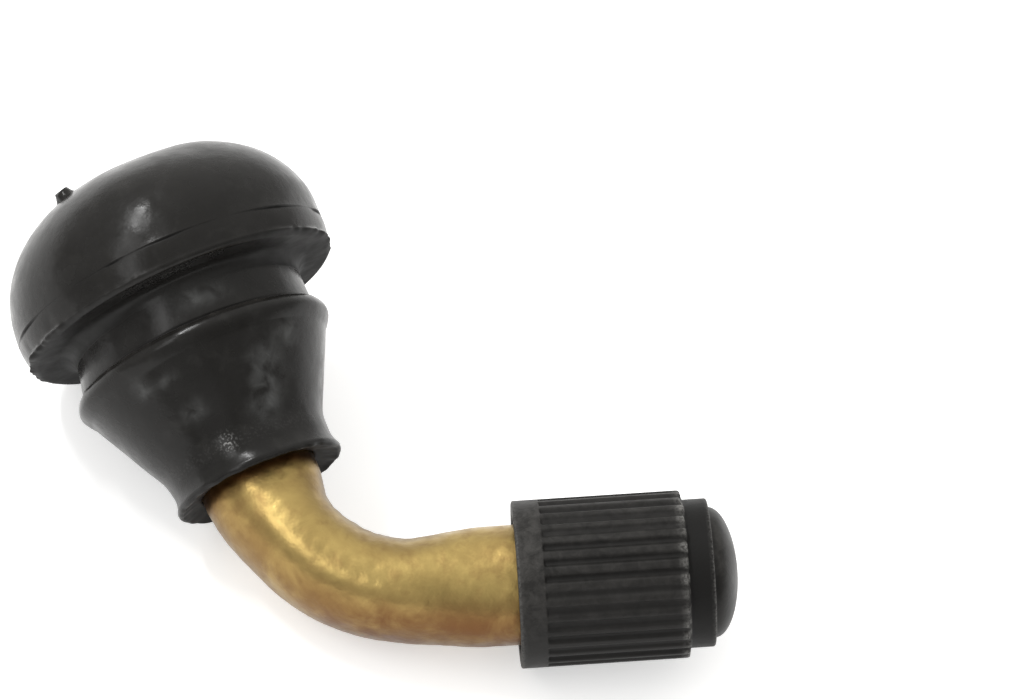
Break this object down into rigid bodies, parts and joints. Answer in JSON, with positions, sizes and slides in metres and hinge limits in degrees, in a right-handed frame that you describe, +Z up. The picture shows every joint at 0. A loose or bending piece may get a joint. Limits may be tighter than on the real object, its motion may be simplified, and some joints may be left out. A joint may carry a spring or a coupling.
{
  "type": "tyre valve",
  "caption": "Bent snap-in tubeless tyre valve: domed rubber foot with rim groove and cone, bent brass stem, fluted dust cap and spring-loaded core.",
  "frame": {"origin": "middle of the bounding box's base, on the floor the valve lies on", "axes": "+Z up; +X along the floor under the stem's straight tip, towards the cap's crown; +Y towards the domed foot"},
  "size_m": [0.0432, 0.0322, 0.0195],
  "materials": {
    "body_rubber": "satin",
    "stem_brass": "satin",
    "cap_plastic": "matte",
    "seal_rubber": "matte",
    "gasket_rubber": "satin",
    "core_brass": "satin",
    "spring_steel": "satin"
  },
  "bodies": {
    "valve": {"rubber_body": "body_rubber", "brass_stem": "stem_brass", "core_plug": "core_brass", "core_barrel": "core_brass", "core_gasket": "gasket_rubber", "core_spring": "spring_steel"},
    "seal": {"cap_seal": "seal_rubber"},
    "cap": {"dust_cap": "cap_plastic"},
    "pin": {"core_pin": "core_brass", "pin_collar": "core_brass", "core_cup": "core_brass", "seat_washer": "seal_rubber"}
  },
  "joints": [
    {"name": "cap_lift", "type": "slide", "parent": "valve", "child": "seal", "axis": [0.9892, 0, 0.1466], "range_m": [0, 0.01032]},
    {"name": "cap_turn", "type": "hinge", "parent": "seal", "child": "cap", "pos_m": [0.00845, -0.01114, 0.00493], "axis": [0.9892, 0, 0.1466], "range_deg": [0, 4681]},
    {"name": "pin_press", "type": "slide", "parent": "valve", "child": "pin", "axis": [-0.9892, 0, -0.1466], "range_m": [0, 0.0015], "stiffness_N_per_m": 300, "springref_m": -0.002, "deforming": ["core_spring"]}
  ],
  "couplings": [
    {"joint": "cap_turn", "follows": "cap_lift", "rad_per_m": 7915.8}
  ]
}
